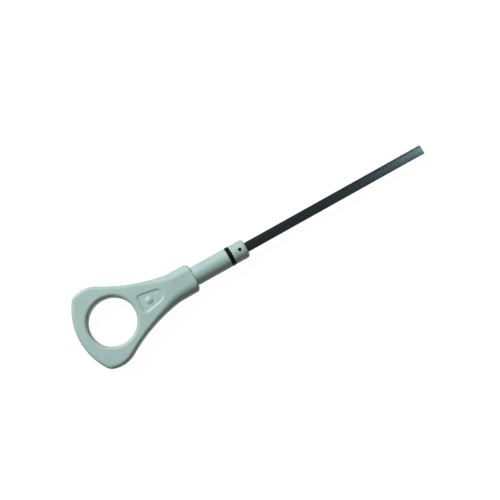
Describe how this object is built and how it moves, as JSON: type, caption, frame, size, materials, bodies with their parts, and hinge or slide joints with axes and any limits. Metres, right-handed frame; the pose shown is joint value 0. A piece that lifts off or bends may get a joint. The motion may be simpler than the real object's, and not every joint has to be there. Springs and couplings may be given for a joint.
{
  "type": "engine oil dipstick",
  "caption": "Dipstick with a flat ring handle tapering to a thick collar, a round plug shank with a sealing ring, and a flat steel blade.",
  "frame": {"origin": "on the shank axis, in the plane of the seating shoulder", "axes": "+X along the shank and blade to the tip, +Y across the handle, +Z square to the flat of the handle, on the side with the recess"},
  "size_m": [0.2297, 0.0482, 0.0124],
  "materials": {
    "handle_plastic": "satin moulded plastic, pale grey-green",
    "seal_rubber": "matt black rubber",
    "blade_steel": "darkened rolled steel strip",
    "pin_steel": "blackened steel pin end"
  },
  "bodies": {
    "root": {"handle": "handle_plastic", "o_ring": "seal_rubber", "blade": "blade_steel", "retaining_pin": "pin_steel"}
  },
  "joints": []
}
